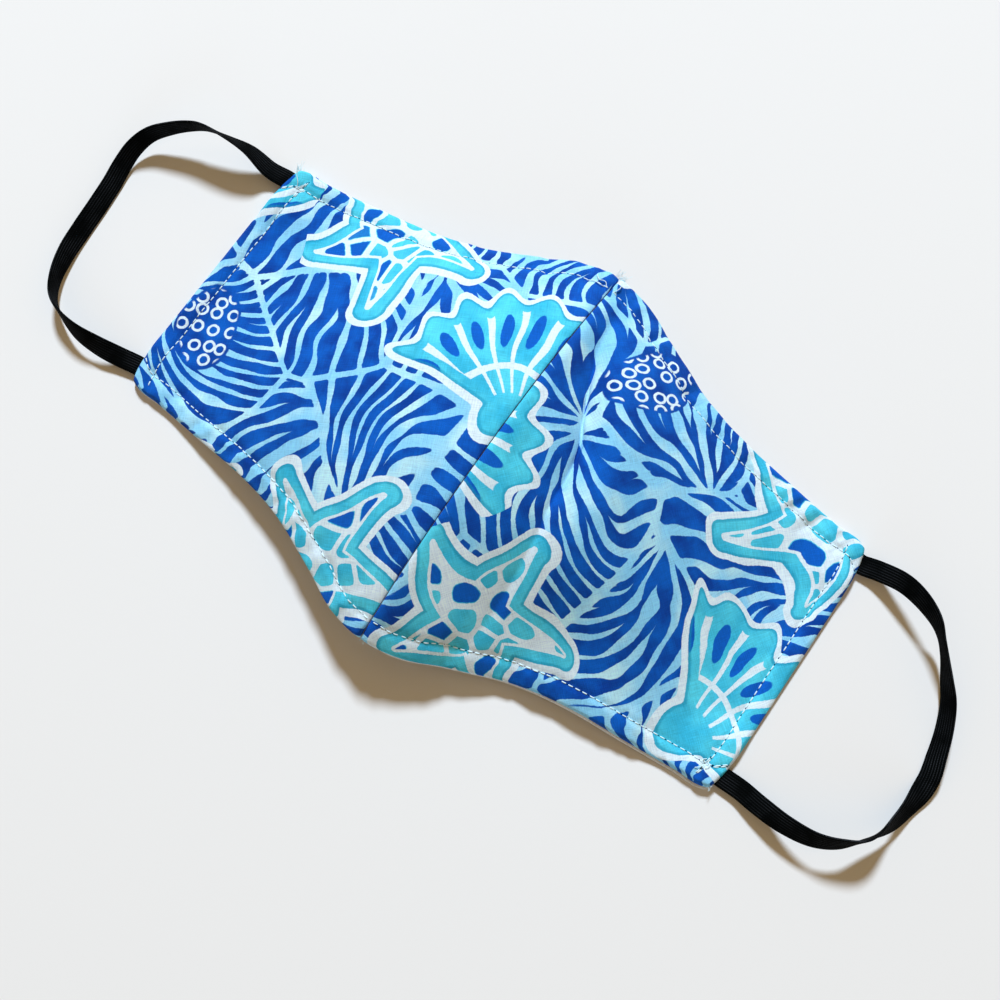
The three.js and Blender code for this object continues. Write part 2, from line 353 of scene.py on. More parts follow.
def place_on(panel, out, y, height):
    """Points of a panel at a height above its inner face, in the frame's metres."""
    reach = 0.5 * mm
    slope_x = (inner_height(panel, out + reach, y) - inner_height(panel, out - reach, y)) / (2 * reach)
    slope_y = (inner_height(panel, out, y + reach) - inner_height(panel, out, y - reach)) / (2 * reach)
    long = np.sqrt(slope_x**2 + slope_y**2 + 1)
    normal = np.stack([-slope_x / long, -slope_y / long, 1 / long], -1)
    way = normal.copy()
    way[..., 0] *= step(out, cloth_clearance, fold_breadth * 2)
    way *= (height / (way * normal).sum(-1))[..., None]
    point = np.stack([out, y, inner_height(panel, out, y)], -1) + way
    side = -1 if panel == "left" else 1
    point[..., 0] = point[..., 0] * side + seam_x
    return point


def edge_out(y):
    """Where the side edge lies, bulging between its corners."""
    return half_width - side_bulge * np.clip(np.abs(y) / half_side, 0, 1) ** side_bulge_fullness


def edge_distances(out, y):
    """How far a place lies inside the upper or lower edge, and inside the side edge."""
    hem = np.maximum((half_height(out) - np.abs(y)) * edge_cosine(out), 0)
    side = np.maximum(edge_out(y) - out, 0)
    return hem, side


def band(value, rise, fall):
    """One between two slopes, each given by where it starts and ends, in millimetres."""
    return step(value, rise[0] * mm, rise[1] * mm) * (1 - step(value, fall[0] * mm, fall[1] * mm))


allowance_height = 0.35 * mm
seam_allowance_height = 0.3 * mm
groove_depth = 0.4 * mm
groove_breadth = 1.1 * mm
pucker_height = 0.8 * mm
pucker_length = 3.6 * mm
small_pucker_length = 2.0 * mm
side_pucker_height = 0.32 * mm
side_pucker_length = 6.5 * mm
edge_slope = (0, 1.5)
pucker_seeds = {"left": (30, 90, 7), "right": (60, 120, 8)}


def stitched_relief(panel, out, y):
    """What the seam allowance, the topstitching and its puckers add to the outer face."""
    hem, side = edge_distances(out, y)
    long_seed, short_seed, side_seed = pucker_seeds[panel]
    pucker = np.zeros_like(out)
    for seed, nose in ((1, True), (2, False)):
        slanted = out + 0.5 * hem
        waves = (0.62 * ripple(slanted, pucker_length, seed + long_seed)
                 + 0.38 * ripple(slanted, small_pucker_length, seed + short_seed))
        pucker += np.where((y > 0) == nose, waves, 0)
    allowance = allowance_height * band(hem, edge_slope, (5.0, 6.6))
    allowance = np.maximum(allowance, allowance_height * band(side, edge_slope, (4.8, 6.2)))
    groove = bell(hem - hem_stitch_in, groove_breadth) + bell(side - side_stitch_in, groove_breadth)
    hem_puckers = pucker_height * pucker * band(hem, edge_slope, (5.6, 12))
    side_waves = side_pucker_height * ripple(y, side_pucker_length, side_seed)
    side_puckers = side_waves * band(side, edge_slope, (5, 10))
    centre = seam_allowance_height * band(out, (0.5, 2.2), (5.5, 8))
    return allowance - groove_depth * groove + hem_puckers + side_puckers + centre


pinch_depth = 1.1 * mm
pinch_breadth = 1.5 * mm
lip_height = 0.7 * mm
lip_aside = 3.4 * mm
lip_breadth = 2.2 * mm
pleat_height = 0.45 * mm
pleat_length = 4.5 * mm
pleat_aside = 2 * mm
pleat_reach = 8 * mm
pleat_seed = 77


def sharp_crease(out, y):
    """The pinch along the floor of the right panel's fold, and the small pleats that meet it."""
    depth = np.clip(smooth_column(fold, y / half_seam, 2), 0, 1)
    floor = smooth_column(fold, y / half_seam, 1) * half_width
    aside = out - floor
    pinch = lip_height * bell(aside - lip_aside, lip_breadth) - pinch_depth * bell(aside, pinch_breadth)
    pleats = pleat_height * ripple(y + 0.7 * aside, pleat_length, pleat_seed)
    pleats = pleats * bell(aside - pleat_aside, pleat_reach)
    return (pinch + pleats) * depth * step(out, 2 * mm, 6 * mm)


def rolled(distance, breadth):
    """The share of full height left where a cloth rolls over its edge."""
    t = np.clip(distance / breadth, 0, 1)
    return np.sqrt(np.clip(1 - (1 - t) ** 2, 0, 1))


swell_height = 0.35 * mm
swell_size = 17 * mm
small_swell_height = 0.14 * mm
small_swell_size = 7 * mm
swell_seeds = {"left": (3, 5), "right": (4, 6)}


def outer_height(panel, out, y):
    """Height of the outer cloth's face above the panel's inner face."""
    hem, side = edge_distances(out, y)
    large_seed, small_seed = swell_seeds[panel]
    swells = swell_height * crumple(out, y, swell_size, large_seed)
    swells = swells + small_swell_height * crumple(out, y, small_swell_size, small_seed)
    inside = step(np.minimum(hem, side), 2 * mm, 12 * mm) * step(out, 0, 10 * mm)
    full = outer_face + lift_over_elastic(out, y) + stitched_relief(panel, out, y) + swells * inside
    if panel == "right":
        full = full + sharp_crease(out, y)
    edge = rolled(np.minimum(hem, side), edge_roll) * rolled(out, seam_roll)
    return inner_to_outer + (full - inner_to_outer) * edge


def spaced(length, spacing):
    """Places from 0 to a length, close together at the rolled ends and even between them."""
    first = np.array([0, 0.05, 0.12, 0.22, 0.36, 0.55, 0.78, 1.05, 1.4]) * mm
    last = length - first[::-1]
    count = int((last[0] - first[-1]) / spacing)
    return np.concatenate([first[:-1], np.linspace(first[-1], last[0], count), last[1:]])


def panel_grid(panel, spacing):
    """The places of a panel's mesh: out from the seam and up from the middle."""
    across = spaced(half_width, spacing) / half_width
    up = spaced(2 * half_side, spacing) / half_side - 1
    up, across = np.meshgrid(up, across, indexing="ij")
    seam_edge = cloth_clearance / 2
    edge = half_width - side_bulge * np.abs(up) ** side_bulge_fullness
    out = seam_edge + (edge - seam_edge) * across
    y = up * half_height(out)
    return out, y


def closed_mesh(name, upper, lower, flipped):
    """A closed mesh between an upper and a lower grid of points."""
    rows, columns = upper.shape[:2]
    index = np.arange(rows * columns).reshape(rows, columns)
    below = index + rows * columns

    def quads(a, b, c, d):
        return np.stack([a, b, c, d], -1).reshape(-1, 4)

    faces = [
        quads(index[:-1, :-1], index[:-1, 1:], index[1:, 1:], index[1:, :-1]),
        quads(below[:-1, :-1], below[1:, :-1], below[1:, 1:], below[:-1, 1:]),
        quads(below[0, :-1], below[0, 1:], index[0, 1:], index[0, :-1]),
        quads(index[-1, :-1], index[-1, 1:], below[-1, 1:], below[-1, :-1]),
        quads(index[:-1, 0], index[1:, 0], below[1:, 0], below[:-1, 0]),
        quads(below[:-1, -1], below[1:, -1], index[1:, -1], index[:-1, -1]),
    ]
    faces = np.concatenate(faces)
    if flipped:
        faces = faces[:, ::-1]
    points = np.concatenate([upper.reshape(-1, 3), lower.reshape(-1, 3)])
    mesh = bpy.data.meshes.new(name)
    mesh.from_pydata(points.tolist(), [], faces.tolist())
    mesh.shade_smooth()
    return mesh


def mark_flat(mesh, along, across):
    """Writes where each point lies on the flat cloth, in metres, for the print and weave."""
    flat = np.stack([along, across, np.zeros_like(along)], -1).reshape(-1, 3)
    layers = len(mesh.vertices) // len(flat)
    attribute = mesh.attributes.new("flat_place", "FLOAT_VECTOR", "POINT")
    attribute.data.foreach_set("vector", np.tile(flat, (layers, 1)).astype(np.float32).ravel())


def laid_flat(points, zero_row):
    """Lengths along and up the cloth, so that a print keeps its size in folds."""
    steps = np.linalg.norm(np.diff(points, axis=1), axis=-1)
    along = np.concatenate([np.zeros((len(points), 1)), np.cumsum(steps, axis=1)], axis=1)
    steps = np.linalg.norm(np.diff(points, axis=0), axis=-1)
    up = np.concatenate([np.zeros((1, points.shape[1])), np.cumsum(steps, axis=0)], axis=0)
    return along, up - up[zero_row]


def add_piece(name, mesh, material):
    mesh.materials.append(material)
    piece = bpy.data.objects.new(name, mesh)
    bpy.context.scene.collection.objects.link(piece)
    return piece


full_turn = 2 * math.pi
cells_2d = {"voronoi_dimensions": "2D"}
cell_borders_2d = {"voronoi_dimensions": "2D", "feature": "DISTANCE_TO_EDGE"}
cobalt = (0.002, 0.115, 0.57, 1)
deep_cobalt = (0.001, 0.048, 0.33, 1)
ice_blue = (0.27, 0.67, 0.98, 1)
pale_blue = (0.55, 0.88, 1.0, 1)
milk_white = (0.76, 0.90, 1.0, 1)
turquoise = (0.04, 0.50, 0.76, 1)
bright_turquoise = (0.10, 0.70, 0.90, 1)
teal = (0.01, 0.29, 0.50, 1)
printed_bump = 0.11 * mm


def print_place(wire, turn, shift):
    """The place on the printed cloth, in millimetres, turned and shifted for one panel."""
    flat = wire.node("ShaderNodeAttribute", {"attribute_name": "flat_place"}, None, "Vector")
    inputs = {"Vector": flat, "Rotation": (0, 0, turn), "Scale": (1000, 1000, 1000),
              "Location": (shift[0], shift[1], 0)}
    return wire.node("ShaderNodeMapping", None, inputs)


def split(wire, vector):
    parts = wire.node("ShaderNodeSeparateXYZ", None, {0: vector})
    return parts, Wire(wire.tree, parts.socket.node.outputs[1])


def joined(wire, x, y):
    return wire.node("ShaderNodeCombineXYZ", None, {0: x, 1: y})


def vector_sum(wire, operation, *values):
    return wire.node("ShaderNodeVectorMath", {"operation": operation}, dict(enumerate(values)))


def scaled(wire, vector, size):
    return wire.node("ShaderNodeVectorMath", {"operation": "SCALE"}, {0: vector, "Scale": size})


def centred_noise(wire, place, size, reach):
    """A vector that wanders by about a reach to each side, to sway what is drawn."""
    drift = wire.noise(place, size, 0.0)
    colour = Wire(wire.tree, drift.socket.node.outputs["Color"])
    return scaled(wire, vector_sum(wire, "SUBTRACT", colour, (0.5, 0.5, 0.5)), 2 * reach)


def length_of(x, y):
    return (x * x + y * y) ** 0.5


def wavy_ground(wire, place):
    """How far inside a cobalt lobe a place is: fans of lobes, parted by pale forking lines."""
    fan_size = 44.0
    apex_offset = 31.0
    fan_lines = 10
    thinnest_line = 0.1
    line_growth = 1.7
    broad_growth = 1.8
    middle_lines_start = 16.0
    far_lines_start = 31.0
    border_line = 1.1
    swayed = vector_sum(wire, "ADD", place, centred_noise(wire, place, 34.0, 10.0))
    cells = {"Vector": swayed, "Scale": 1 / fan_size, "Randomness": 0.9}
    nearest = wire.node("ShaderNodeTexVoronoi", cells_2d, cells, "Position")
    tint = Wire(wire.tree, nearest.socket.node.outputs["Color"])
    border = wire.node("ShaderNodeTexVoronoi", cell_borders_2d, cells, "Distance") * fan_size
    rippled = vector_sum(wire, "ADD", swayed, centred_noise(wire, place, 13.0, 2.4))
    x, y = split(wire, vector_sum(wire, "SUBTRACT", rippled, nearest))
    heading, curl = split(wire, tint)
    x = x + wire.math("COSINE", heading * full_turn) * apex_offset
    y = y + wire.math("SINE", heading * full_turn) * apex_offset
    radius = length_of(x, y)
    angle = wire.math("ARCTAN2", y, x) + radius * (curl - 0.5) * 0.045 + 2 * full_turn
    gap = math.pi / fan_lines
    broad = wire.noise(place, 30.0, 0.0).above(0.57, 0.07)
    growth = line_growth + broad * broad_growth
    half_line = wire.noise(place, 9.0, 0.0) * growth + thinnest_line
    near = wire.math("PINGPONG", angle, gap) * radius - half_line
    started = radius.above(middle_lines_start, 5.0) * (half_line + 0.2) - 0.2
    middle = wire.math("PINGPONG", angle + gap, gap) * radius - started
    started = radius.above(far_lines_start, 8.0) * (half_line + 0.2) - 0.2
    far = wire.math("PINGPONG", angle + gap / 2, gap / 2) * radius - started
    lobe = wire.math("SMOOTH_MIN", wire.math("MINIMUM", near, middle), far, 0.5)
    return wire.math("SMOOTH_MIN", lobe, border - border_line, 1.6)


def sea_star(wire, x, y):
    """Distance from a five-armed star's edge, negative inside."""
    arm_length = 28.0
    body_radius = 14.0
    tip_radius = 5.0
    arm_curl = 0.012
    radius = length_of(x, y)
    angle = wire.math("ARCTAN2", y, x) + radius * arm_curl
    folded = wire.math("PINGPONG", angle + 2 * full_turn, math.pi / 5)
    along = radius * wire.math("COSINE", folded)
    aside = radius * wire.math("SINE", folded)
    share = wire.node("ShaderNodeClamp", None, {"Value": along / arm_length})
    beyond = along - share * arm_length
    return length_of(beyond, aside) - (body_radius - share * (body_radius - tip_radius))


def scallop(wire, x, y):
    """Distance from a shell's edge, from its ribs, from its hinge and from its lobes' middles."""
    spread = 1.12
    lobes = 7
    shell_radius = 41.0
    lobe_height = 2.4
    knob_radius = 8.0
    radius = length_of(x, y)
    angle = wire.math("ARCTAN2", x, y)
    lobe = spread / lobes
    from_rib = wire.math("PINGPONG", angle + 12 * lobe, lobe)
    rib = wire.math("SINE", from_rib) * radius
    middle = wire.math("SINE", lobe - from_rib) * radius
    wave = wire.math("COSINE", (angle / lobe) * math.pi + math.pi)
    arc = radius - shell_radius - lobe_height * wave
    flank = (abs(angle) - spread) * radius * 0.95
    edge = wire.math("SMOOTH_MAX", arc, flank, 3.5)
    knob = length_of(x, y - 1.0) - knob_radius
    return wire.math("SMOOTH_MIN", edge, knob, 2.0), rib, radius, middle


def finish_with(shader, wire, colour, height, bump_distance):
    """Links a colour and a bump height to a material's shader."""
    wire.tree.links.new(colour.socket, shader.inputs["Base Color"])
    bump = wire.node("ShaderNodeBump", None, {"Height": height, "Distance": bump_distance})
    wire.tree.links.new(bump.socket, shader.inputs["Normal"])


def printed_cotton(name, turn, shift):
    """Cotton with a blue sea-floor print, woven fine and printed with slightly uneven ink."""
    material, shader, wire = new_material(name, 0.84, 0.01)
    place = print_place(wire, turn, shift)
    inked = vector_sum(wire, "ADD", place, centred_noise(wire, place, 0.9, 0.12))
    lobes = wavy_ground(wire, inked).above(0.0, 0.1)
    mottle = wire.noise(place, 9.0, 3.0).above(0.5, 0.2)
    ground = wire.mix(mottle, cobalt, deep_cobalt)
    pale = wire.mix(wire.noise(place, 16.0, 2.0).above(0.55, 0.14), ice_blue, pale_blue)
    colour = wire.mix(lobes, pale, ground)

    repeat_wide = 116.0
    repeat_high = 112.0
    swayed = vector_sum(wire, "ADD", inked, centred_noise(wire, place, 18.0, 3.4))
    x, y = split(wire, swayed)
    column = wire.math("FLOOR", x / repeat_wide)
    x = x - (column + 0.5) * repeat_wide
    y = y + wire.math("FLOORED_MODULO", column, 2.0) * (repeat_high / 2)
    y = wire.math("FLOORED_MODULO", y, repeat_high) - repeat_high / 2

    ring_pitch = 5.6
    ring_radius = 1.7
    ring_half_line = 0.42
    ring_cells = {"Vector": inked, "Scale": 1 / ring_pitch, "Randomness": 0.55}
    ring = wire.node("ShaderNodeTexVoronoi", cells_2d, ring_cells, "Distance")
    ring = abs(ring * ring_pitch - ring_radius).below(ring_half_line, 0.12)
    cluster = length_of(x - 33, (y - 37) * 0.7)
    colour = wire.mix(cluster.below(10.5, 0.2), colour, ground)
    colour = wire.mix(cluster.below(9.6, 0.3) * ring, colour, milk_white)

    star = sea_star(wire, x + 27, y - 19)
    shell, rib, hinge, middle = scallop(wire, x - 22, y + 42)
    web_size = 8.8
    web_half_line = 0.85
    patch_radius = 4.7
    web_cells = {"Vector": swayed, "Scale": 1 / web_size, "Randomness": 0.75}
    web = wire.node("ShaderNodeTexVoronoi", cell_borders_2d, web_cells, "Distance") * web_size
    patch = wire.node("ShaderNodeTexVoronoi", cells_2d, web_cells, "Color")
    patch_tint = split(wire, patch)[0]
    reach = wire.node("ShaderNodeTexVoronoi", cells_2d, web_cells, "Distance") * web_size
    patch_depth = wire.math("SMOOTH_MIN", web - web_half_line, patch_radius - reach, 1.4)
    wash = wire.noise(place, 12.0, 2.0).above(0.5, 0.2)
    flesh = wire.mix(wash, turquoise, bright_turquoise)

    dark_patch = patch_tint.above(0.66, 0.02) * patch_depth.above(0.25, 0.1)
    star_fill = wire.mix(dark_patch, flesh, cobalt)
    inner_star = wire.math("SMOOTH_MIN", patch_depth, -4.9 - star, 1.2)
    star_fill = wire.mix(inner_star.above(0.0, 0.1), milk_white, star_fill)
    star_fill = wire.mix(star.above(-3.9, 0.1), star_fill, flesh)
    drop = length_of((hinge - 29.5) / 5.6, middle / 1.9)
    shell_fill = wire.mix(drop.below(1.0, 0.06), flesh, cobalt)
    arc_line = abs(hinge - 18.0).below(0.95, 0.12)
    rib_line = (rib - hinge * 0.03).below(0.15, 0.12) * hinge.above(9.0, 0.3)
    line = wire.math("MAXIMUM", arc_line, rib_line)
    shell_fill = wire.mix(line * shell.below(-3.4, 0.2), shell_fill, milk_white)

    motif_outline = 2.3
    motif = wire.math("MINIMUM", star, shell)
    filled = wire.mix((shell - star).above(0.0, 0.01), shell_fill, star_fill)
    filled = wire.mix(motif.above(-0.9, 0.4) * 0.6, filled, teal)
    colour = wire.mix(motif.below(motif_outline, 0.1), colour, milk_white)
    colour = wire.mix(motif.below(0.0, 0.1), colour, filled)
    colour, height = woven(wire, place, colour, weave_pitch)
    finish_with(shader, wire, colour, height, printed_bump)
    return material


weave_pitch = 0.42


def woven(wire, place, colour, pitch):
    """Shades a colour by slubby crossing threads, and gives the height of a plain weave."""
    x, y = split(wire, place)
    warp = wire.noise(joined(wire, x * 3.2, y * 0.22), 1.0, 2.0)
    weft = wire.noise(joined(wire, x * 0.22, y * 3.2), 1.0, 2.0)
    uneven = (warp + weft) * 0.5
    inputs = {"Color": colour, "Value": uneven * 1.1 + 0.46}
    shaded = wire.node("ShaderNodeHueSaturation", None, inputs)
    turn = full_turn / pitch
    over = wire.math("SINE", x * turn) * wire.math("SINE", y * turn)
    return shaded, over * 0.5 + uneven * 1.2


panel_prints = {"left": (math.radians(-24), (310, 120)), "right": (math.radians(38), (96, 262))}
outer_spacing = 0.65 * mm
for panel, (turn, shift) in panel_prints.items():
    out, y = panel_grid(panel, outer_spacing)
    upper = place_on(panel, out, y, outer_height(panel, out, y))
    lower = place_on(panel, out, y, np.full_like(out, inner_to_outer))
    mesh = closed_mesh(f"outer_{panel}_cloth", upper, lower, panel == "left")
    along, up = laid_flat(upper, len(upper) // 2)
    mark_flat(mesh, -along if panel == "left" else along, up)
    cotton = printed_cotton(f"printed_cotton_{panel}", turn, shift)
    piece = add_piece(f"outer_{panel}_cloth", mesh, cotton)
    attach(piece, "root")
    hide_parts(f"outer_{panel}")

# The lining panels
# Plain white cotton, cut and seamed like the outer cloth and turned out with it. Its edge
# peeks out under the printed cloth as a thin white rim.
lining_spacing = 1.2 * mm
lining_roll = 1.0 * mm
rim_share = 0.35
lining_white = (0.83, 0.85, 0.87, 1)
clouded_white = (0.78, 0.80, 0.83, 1)
lining_bump = 0.09 * mm
rim = {"left": 0.1 * mm, "right": 0.8 * mm}


def lining_height(panel, out, y):
    """Height of the lining's hidden face above its inner face, rounded off at the rim."""
    full = rolled(np.minimum(*edge_distances(out, y)), lining_roll)
    return lining_thickness * (rim_share + (1 - rim_share) * full)


def white_cotton():
    material, shader, wire = new_material("lining_cotton", 0.9, 0.1)
    place = print_place(wire, 0.2, (0, 0))
    cloud = wire.noise(place, 18.0, 3.0).above(0.5, 0.25)
    colour = wire.mix(cloud, lining_white, clouded_white)
    colour, height = woven(wire, place, colour, weave_pitch)
    finish_with(shader, wire, colour, height, lining_bump)
    return material


lining_cotton = white_cotton()
for panel in ("left", "right"):
    out, y = panel_grid(panel, lining_spacing)
    upper = place_on(panel, out, y, lining_height(panel, out, y))
    lower = place_on(panel, out, y, np.zeros_like(out))
    shown = rim["left"] + (rim[panel] - rim["left"]) * step(out, 0, 12 * mm)
    peek = np.where(y < 0, -shown, 0) * step(np.abs(y) / half_height(out), 0.97, 1.0)
    upper[..., 1] += peek
    lower[..., 1] += peek
    mesh = closed_mesh(f"lining_{panel}_cloth", upper, lower, panel == "left")
    mark_flat(mesh, *laid_flat(upper, len(upper) // 2))
    piece = add_piece(f"lining_{panel}_cloth", mesh, lining_cotton)
    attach(piece, "root")
    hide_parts(f"lining_{panel}")

# The topstitching
# One run of pale thread follows the upper and lower edges and one each side edge, through
# both cloths and over the sewn ends of the elastic. The runs cross in the corners, where a
# few stitches are sewn back, and short dark marks of painted shade sit at each stitch's ends,
# for the shadow in the recess of each needle hole.
stitch_pitch = 2.3 * mm
stitch_length = 1.85 * mm
thread_radius = 0.2 * mm
# The painted shade marks at the stitches' ends: their size, depth and dark colour.
shade_mark_length = 0.9 * mm
shade_mark_radius = 0.19 * mm
back_tack_length = 9 * mm
back_tack_aside = 0.45 * mm
thread_lift = 0.55
shade_mark_lift = -0.3
thread_colour = (0.68, 0.86, 0.93, 1)
stitch_shade_colour = (0.004, 0.03, 0.10, 1)
table_clearance = 0.32 * mm


def hem_run(nose, inset=0.0, first=0.6 * mm):
    """Places of the stitches along an upper or lower edge, from near the seam to the side."""
    out = np.linspace(first, half_width - 0.8 * mm, 600)
    y = half_height(out) - (hem_stitch_in + inset) / edge_cosine(out)
    return out, y * (1 if nose else -1)


def side_run(inset=0.0, first=-half_side + 1.2 * mm, last=half_side - 1.2 * mm):
    """Places of the stitches along a side edge, from the chin's corner to the nose's."""
    y = np.linspace(first, last, 400)
    return edge_out(y) - side_stitch_in - inset, y


def run_places(panel, run, face, length, phase, seed):
    """Starts, middles and ends of the stitches along a run, and the way up from the cloth."""
    out, y = run
    line = place_on(panel, out, y, face(panel, out, y))
    travelled = np.concatenate([[0], np.cumsum(np.linalg.norm(np.diff(line, axis=0), axis=1))])
    count = int(travelled[-1] / stitch_pitch)
    jitter = np.random.default_rng(seed).normal(0, 0.05, count)
    middle = (np.arange(count) + phase + jitter) * stitch_pitch
    points = []
    for at in (middle - length / 2, middle, middle + length / 2):
        out_at, y_at = np.interp(at, travelled, out), np.interp(at, travelled, y)
        points.append(place_on(panel, out_at, y_at, face(panel, out_at, y_at)))
    out_at, y_at = np.interp(middle, travelled, out), np.interp(middle, travelled, y)
    up = place_on(panel, out_at, y_at, face(panel, out_at, y_at) + mm) - points[1]
    return points, up / np.linalg.norm(up, axis=1, keepdims=True)


def stitch_mesh(name, runs, radius, lift):
    """Short rounds that dip into the cloth at both ends, fused into one mesh: thread, or the painted
    shade marks.
    """
    rings, sides = 7, 7
    share = np.linspace(-1, 1, rings)
    angle = np.arange(sides) / sides * 2 * math.pi
    blocks = []
    for (start, middle, end), up in runs:
        way = (end - start) / np.linalg.norm(end - start, axis=1, keepdims=True)
        aside = np.cross(way, up)
        centre = middle[:, None] + (end - start)[:, None] / 2 * share[:, None]
        centre = centre + up[:, None] * (radius * (lift - 1.5 * share**4))[:, None]
        size = radius * np.sqrt(np.maximum(1 - share**6, 0.05))
        round_way = np.cos(angle)[:, None] * aside[:, None] + np.sin(angle)[:, None] * up[:, None]
        blocks.append(centre[:, :, None] + size[:, None, None] * round_way[:, None])
    points = np.concatenate(blocks)
    index = np.arange(points[..., 0].size).reshape(points.shape[:3])
    turned = np.roll(index, -1, axis=2)
    walls = np.stack([index[:, :-1], index[:, 1:], turned[:, 1:], turned[:, :-1]], -1)
    caps = np.concatenate([index[:, 0], index[:, -1, ::-1]])
    mesh = bpy.data.meshes.new(name)
    mesh.from_pydata(points.reshape(-1, 3).tolist(), [], walls.reshape(-1, 4).tolist() + caps.tolist())
    mesh.shade_smooth()
    return mesh


def inner_face(panel, out, y):
    """The lining's face, where the thread sinks in so far that it clears the table."""
    return table_clearance * (1 - step(inner_height(panel, out, y), 0, 0.5 * mm))


def sewn_runs(panel, length, phase):
    """The stitches, or the painted shade marks at their ends, of a panel: on the outer face, then on
    the lining's face.
    """
    lines = [hem_run(True), hem_run(False), side_run()]
    lines.append(hem_run(panel == "left", back_tack_aside, half_width - back_tack_length))
    corner = half_side - back_tack_length
    if panel == "left":
        lines.append(side_run(back_tack_aside, first=corner))
    else:
        lines.append(side_run(back_tack_aside, last=-corner))
    runs = [run_places(panel, line, outer_height, length, phase, seed)
            for seed, line in enumerate(lines)]
    for seed, line in enumerate(lines[:3]):
        points, up = run_places(panel, line, inner_face, length, phase, seed + 40)
        runs.append((points, -up))
    return runs


sewing_thread = plain_material("sewing_thread", thread_colour, 0.6)
# Dark material for the painted shade at the needle holes.
painted_stitch_shade = plain_material("painted_stitch_shade", stitch_shade_colour, 0.9)
for panel in ("left", "right"):
    runs = sewn_runs(panel, stitch_length, 0.5)
    mesh = stitch_mesh(f"topstitch_{panel}", runs, thread_radius, thread_lift)
    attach(add_piece(f"topstitch_{panel}", mesh, sewing_thread), "root")
    # Painted shade: short dark marks where the thread sinks into the cloth at each needle hole.
    runs = sewn_runs(panel, shade_mark_length, 1.0)
    mesh = stitch_mesh(f"painted_stitch_shades_{panel}", runs, shade_mark_radius, shade_mark_lift)
    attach(add_piece(f"painted_stitch_shades_{panel}", mesh, painted_stitch_shade), "root")

# The thread ends
# Where a run of stitches starts or stops, the thread was cut, and its ends stand off the
# cloth. The cotton's cut edges fray a little at two corners and at both ends of the seam.
thread_end_radius = 0.13 * mm
fibre_radius = 0.055 * mm
above_table = [-1, -1, 0.1 * mm]


def strand_mesh(name, strands):
    """Thin round strands along smooth paths, each a list of points and a radius."""
    sides = 6
    angle = np.arange(sides) / sides * 2 * math.pi
    points, faces = [], []
    for path, radius in strands:
        path = np.array(path)
        key = np.arange(len(path))
        at = np.linspace(0, len(path) - 1, 6 * len(path))
        centre = np.stack([smooth_column(list(zip(key, path[:, i])), at) for i in range(3)], -1)
        way = np.gradient(centre, axis=0)
        way /= np.linalg.norm(way, axis=1, keepdims=True)
        first = np.cross(way, [0.31, 0.52, 0.80])
        first /= np.linalg.norm(first, axis=1, keepdims=True)
        second = np.cross(way, first)
        ring = np.cos(angle)[:, None] * first[:, None] + np.sin(angle)[:, None] * second[:, None]
        taper = np.where(np.arange(len(at)) % (len(at) - 1) == 0, 0.3, 1.0)
        start = len(points)
        points += (centre[:, None] + radius * taper[:, None, None] * ring).reshape(-1, 3).tolist()
        for row in range(len(at) - 1):
            for side in range(sides):
                a = start + row * sides + side
                b = start + row * sides + (side + 1) % sides
                faces.append((a, b, b + sides, a + sides))
        faces.append([start + side for side in reversed(range(sides))])
        faces.append([start + (len(at) - 1) * sides + side for side in range(sides)])
    mesh = bpy.data.meshes.new(name)
    mesh.from_pydata(points, [], faces)
    mesh.shade_smooth()
    return mesh


def on_face(panel, out, y, height):
    """A point a little over the outer face, given in millimetres."""
    out, y = np.array([out * mm]), np.array([y * mm])
    return place_on(panel, out, y, outer_height(panel, out, y) + height * mm)[0]


def thread_end(panel, rows):
    return [on_face(panel, *row) for row in rows], thread_end_radius


def fray(panel, out, y, way, count, length, seed):
    """Short fibres that stand out of an edge, on the whole one way."""
    random = np.random.default_rng(seed)
    root = on_face(panel, out, y, -0.6)
    side = -1 if panel == "left" else 1
    strands = []
    for _ in range(count):
        start = root + random.uniform(-0.8, 0.8, 3) * mm * [1, 1, 0.3]
        heading = np.array([way[0] * side, way[1], 0.25]) + random.normal(0, 0.45, 3)
        bend = random.normal(0, 0.35, 3) * length * mm
        end = start + heading * length * mm * random.uniform(0.5, 1.0)
        middle = (start + end) / 2 + bend * 0.5
        path = [start, np.maximum(middle, above_table), np.maximum(end, above_table)]
        strands.append((path, fibre_radius))
    return strands


edge_mm = half_width / mm
thread_ends = [
    thread_end("right", [(edge_mm - 7.5, -37.2, -0.1), (edge_mm - 8.6, -38.4, 0.5),
                         (edge_mm - 8.0, -40.2, 0.7), (edge_mm - 9.4, -41.6, 0.3)]),
    thread_end("right", [(edge_mm - 7.0, -37.6, -0.1), (edge_mm - 5.9, -38.8, 0.6),
                         (edge_mm - 6.6, -40.0, 0.4)]),
    thread_end("left", [(edge_mm - 5.8, 38.0, -0.1), (edge_mm - 5.0, 39.8, 0.6),
                        (edge_mm - 3.6, 41.3, 1.0), (edge_mm - 3.2, 42.6, 1.6)]),
    thread_end("left", [(1.2, 60.6, -0.1), (2.6, 61.8, 0.5), (4.6, 61.3, 0.6), (6.0, 62.4, 0.4)]),
    thread_end("left", [(2.0, 60.9, -0.1), (3.4, 60.0, 0.6), (5.4, 60.3, 0.5), (7.6, 59.6, 0.3)]),
    thread_end("right", [(1.0, 60.8, -0.1), (2.2, 62.4, 0.7), (1.6, 64.2, 0.9)]),
]
